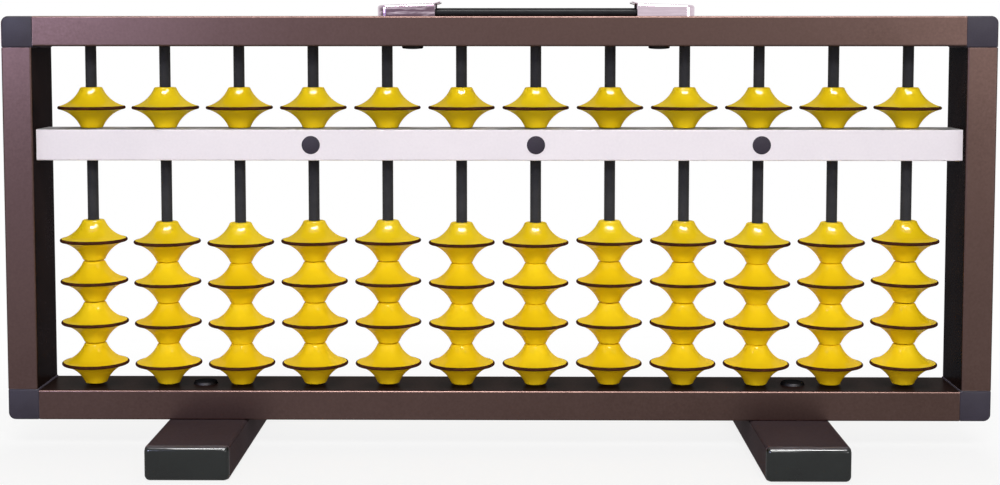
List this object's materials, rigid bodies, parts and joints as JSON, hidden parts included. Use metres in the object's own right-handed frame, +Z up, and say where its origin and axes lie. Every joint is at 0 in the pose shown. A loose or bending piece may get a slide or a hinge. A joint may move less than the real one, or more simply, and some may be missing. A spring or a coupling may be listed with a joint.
{
  "type": "demonstration soroban abacus",
  "caption": "Large upright demonstration soroban with yellow black-rimmed beads, brown frame, white beam, carrying handle and feet",
  "frame": {"origin": "Middle of the footprint, on the plane the feet stand on", "axes": "+X to the right of someone who faces the beads' front, +Y to the back, +Z up"},
  "size_m": [0.84, 0.2414, 0.3852],
  "materials": {
    "rail_brown": "satin brown coating",
    "foot_brown": "satin dark brown coating",
    "corner_slate": "moulded, slate black",
    "cap_black": "moulded, black, smooth",
    "beam_white": "white lacquer",
    "point_dark": "dark violet grey",
    "rod_black": "matt black, velvety",
    "bead_yellow": "glossy yellow with a black brown rim",
    "strap_black": "satin black",
    "handle_chrome": "bright chrome",
    "bolt_black": "black",
    "bare_steel": "plain"
  },
  "bodies": {
    "frame": {"top_rail": "rail_brown", "bottom_rail": "rail_brown", "left_rail": "rail_brown", "right_rail": "rail_brown", "corner_top_left": "corner_slate", "corner_top_right": "corner_slate", "corner_bottom_left": "corner_slate", "corner_bottom_right": "corner_slate", "beam": "beam_white", "beam_screws": "bare_steel", "unit_points": "point_dark", "rods": "rod_black", "handle_strap": "strap_black", "handle_end_left": "handle_chrome", "handle_end_right": "handle_chrome", "handle_bolts": "bolt_black", "foot_left": "foot_brown", "foot_right": "foot_brown", "foot_cap_front_left": "cap_black", "foot_cap_front_right": "cap_black", "foot_cap_rear_left": "cap_black", "foot_cap_rear_right": "cap_black", "foot_bolts": "bolt_black", "foot_nuts": "bare_steel"},
    "heaven_bead_1": {"heaven_bead_1": "bead_yellow"},
    "earth_beads_high_1": {"earth_beads_high_1": "bead_yellow"},
    "earth_beads_low_1": {"earth_beads_low_1": "bead_yellow"},
    "heaven_bead_2": {"heaven_bead_2": "bead_yellow"},
    "earth_beads_high_2": {"earth_beads_high_2": "bead_yellow"},
    "earth_beads_low_2": {"earth_beads_low_2": "bead_yellow"},
    "heaven_bead_3": {"heaven_bead_3": "bead_yellow"},
    "earth_beads_high_3": {"earth_beads_high_3": "bead_yellow"},
    "earth_beads_low_3": {"earth_beads_low_3": "bead_yellow"},
    "heaven_bead_4": {"heaven_bead_4": "bead_yellow"},
    "earth_beads_high_4": {"earth_beads_high_4": "bead_yellow"},
    "earth_beads_low_4": {"earth_beads_low_4": "bead_yellow"},
    "heaven_bead_5": {"heaven_bead_5": "bead_yellow"},
    "earth_beads_high_5": {"earth_beads_high_5": "bead_yellow"},
    "earth_beads_low_5": {"earth_beads_low_5": "bead_yellow"},
    "heaven_bead_6": {"heaven_bead_6": "bead_yellow"},
    "earth_beads_high_6": {"earth_beads_high_6": "bead_yellow"},
    "earth_beads_low_6": {"earth_beads_low_6": "bead_yellow"},
    "heaven_bead_7": {"heaven_bead_7": "bead_yellow"},
    "earth_beads_high_7": {"earth_beads_high_7": "bead_yellow"},
    "earth_beads_low_7": {"earth_beads_low_7": "bead_yellow"},
    "heaven_bead_8": {"heaven_bead_8": "bead_yellow"},
    "earth_beads_high_8": {"earth_beads_high_8": "bead_yellow"},
    "earth_beads_low_8": {"earth_beads_low_8": "bead_yellow"},
    "heaven_bead_9": {"heaven_bead_9": "bead_yellow"},
    "earth_beads_high_9": {"earth_beads_high_9": "bead_yellow"},
    "earth_beads_low_9": {"earth_beads_low_9": "bead_yellow"},
    "heaven_bead_10": {"heaven_bead_10": "bead_yellow"},
    "earth_beads_high_10": {"earth_beads_high_10": "bead_yellow"},
    "earth_beads_low_10": {"earth_beads_low_10": "bead_yellow"},
    "heaven_bead_11": {"heaven_bead_11": "bead_yellow"},
    "earth_beads_high_11": {"earth_beads_high_11": "bead_yellow"},
    "earth_beads_low_11": {"earth_beads_low_11": "bead_yellow"},
    "heaven_bead_12": {"heaven_bead_12": "bead_yellow"},
    "earth_beads_high_12": {"earth_beads_high_12": "bead_yellow"},
    "earth_beads_low_12": {"earth_beads_low_12": "bead_yellow"}
  },
  "joints": [
    {"name": "heaven_slide_1", "type": "slide", "parent": "frame", "child": "heaven_bead_1", "axis": [0, 0, 1], "range_m": [0, 0.03509]},
    {"name": "earth_low_slide_1", "type": "slide", "parent": "frame", "child": "earth_beads_low_1", "axis": [0, 0, -1], "range_m": [-0.0527, 0]},
    {"name": "earth_high_slide_1", "type": "slide", "parent": "earth_beads_low_1", "child": "earth_beads_high_1", "axis": [0, 0, 1], "range_m": [0, 0.0527]},
    {"name": "heaven_slide_2", "type": "slide", "parent": "frame", "child": "heaven_bead_2", "axis": [0, 0, 1], "range_m": [0, 0.03509]},
    {"name": "earth_low_slide_2", "type": "slide", "parent": "frame", "child": "earth_beads_low_2", "axis": [0, 0, -1], "range_m": [-0.05419, 0]},
    {"name": "earth_high_slide_2", "type": "slide", "parent": "earth_beads_low_2", "child": "earth_beads_high_2", "axis": [0, 0, 1], "range_m": [0, 0.05419]},
    {"name": "heaven_slide_3", "type": "slide", "parent": "frame", "child": "heaven_bead_3", "axis": [0, 0, 1], "range_m": [0, 0.03509]},
    {"name": "earth_low_slide_3", "type": "slide", "parent": "frame", "child": "earth_beads_low_3", "axis": [0, 0, -1], "range_m": [-0.05502, 0]},
    {"name": "earth_high_slide_3", "type": "slide", "parent": "earth_beads_low_3", "child": "earth_beads_high_3", "axis": [0, 0, 1], "range_m": [0, 0.05502]},
    {"name": "heaven_slide_4", "type": "slide", "parent": "frame", "child": "heaven_bead_4", "axis": [0, 0, 1], "range_m": [0, 0.03509]},
    {"name": "earth_low_slide_4", "type": "slide", "parent": "frame", "child": "earth_beads_low_4", "axis": [0, 0, -1], "range_m": [-0.05333, 0]},
    {"name": "earth_high_slide_4", "type": "slide", "parent": "earth_beads_low_4", "child": "earth_beads_high_4", "axis": [0, 0, 1], "range_m": [0, 0.05333]},
    {"name": "heaven_slide_5", "type": "slide", "parent": "frame", "child": "heaven_bead_5", "axis": [0, 0, 1], "range_m": [0, 0.03509]},
    {"name": "earth_low_slide_5", "type": "slide", "parent": "frame", "child": "earth_beads_low_5", "axis": [0, 0, -1], "range_m": [-0.05291, 0]},
    {"name": "earth_high_slide_5", "type": "slide", "parent": "earth_beads_low_5", "child": "earth_beads_high_5", "axis": [0, 0, 1], "range_m": [0, 0.05291]},
    {"name": "heaven_slide_6", "type": "slide", "parent": "frame", "child": "heaven_bead_6", "axis": [0, 0, 1], "range_m": [0, 0.03509]},
    {"name": "earth_low_slide_6", "type": "slide", "parent": "frame", "child": "earth_beads_low_6", "axis": [0, 0, -1], "range_m": [-0.0547, 0]},
    {"name": "earth_high_slide_6", "type": "slide", "parent": "earth_beads_low_6", "child": "earth_beads_high_6", "axis": [0, 0, 1], "range_m": [0, 0.0547]},
    {"name": "heaven_slide_7", "type": "slide", "parent": "frame", "child": "heaven_bead_7", "axis": [0, 0, 1], "range_m": [0, 0.03509]},
    {"name": "earth_low_slide_7", "type": "slide", "parent": "frame", "child": "earth_beads_low_7", "axis": [0, 0, -1], "range_m": [-0.05468, 0]},
    {"name": "earth_high_slide_7", "type": "slide", "parent": "earth_beads_low_7", "child": "earth_beads_high_7", "axis": [0, 0, 1], "range_m": [0, 0.05468]},
    {"name": "heaven_slide_8", "type": "slide", "parent": "frame", "child": "heaven_bead_8", "axis": [0, 0, 1], "range_m": [0, 0.03509]},
    {"name": "earth_low_slide_8", "type": "slide", "parent": "frame", "child": "earth_beads_low_8", "axis": [0, 0, -1], "range_m": [-0.0529, 0]},
    {"name": "earth_high_slide_8", "type": "slide", "parent": "earth_beads_low_8", "child": "earth_beads_high_8", "axis": [0, 0, 1], "range_m": [0, 0.0529]},
    {"name": "heaven_slide_9", "type": "slide", "parent": "frame", "child": "heaven_bead_9", "axis": [0, 0, 1], "range_m": [0, 0.03509]},
    {"name": "earth_low_slide_9", "type": "slide", "parent": "frame", "child": "earth_beads_low_9", "axis": [0, 0, -1], "range_m": [-0.05335, 0]},
    {"name": "earth_high_slide_9", "type": "slide", "parent": "earth_beads_low_9", "child": "earth_beads_high_9", "axis": [0, 0, 1], "range_m": [0, 0.05335]},
    {"name": "heaven_slide_10", "type": "slide", "parent": "frame", "child": "heaven_bead_10", "axis": [0, 0, 1], "range_m": [0, 0.03509]},
    {"name": "earth_low_slide_10", "type": "slide", "parent": "frame", "child": "earth_beads_low_10", "axis": [0, 0, -1], "range_m": [-0.05502, 0]},
    {"name": "earth_high_slide_10", "type": "slide", "parent": "earth_beads_low_10", "child": "earth_beads_high_10", "axis": [0, 0, 1], "range_m": [0, 0.05502]},
    {"name": "heaven_slide_11", "type": "slide", "parent": "frame", "child": "heaven_bead_11", "axis": [0, 0, 1], "range_m": [0, 0.03509]},
    {"name": "earth_low_slide_11", "type": "slide", "parent": "frame", "child": "earth_beads_low_11", "axis": [0, 0, -1], "range_m": [-0.05416, 0]},
    {"name": "earth_high_slide_11", "type": "slide", "parent": "earth_beads_low_11", "child": "earth_beads_high_11", "axis": [0, 0, 1], "range_m": [0, 0.05416]},
    {"name": "heaven_slide_12", "type": "slide", "parent": "frame", "child": "heaven_bead_12", "axis": [0, 0, 1], "range_m": [0, 0.03509]},
    {"name": "earth_low_slide_12", "type": "slide", "parent": "frame", "child": "earth_beads_low_12", "axis": [0, 0, -1], "range_m": [-0.0527, 0]},
    {"name": "earth_high_slide_12", "type": "slide", "parent": "earth_beads_low_12", "child": "earth_beads_high_12", "axis": [0, 0, 1], "range_m": [0, 0.0527]}
  ]
}
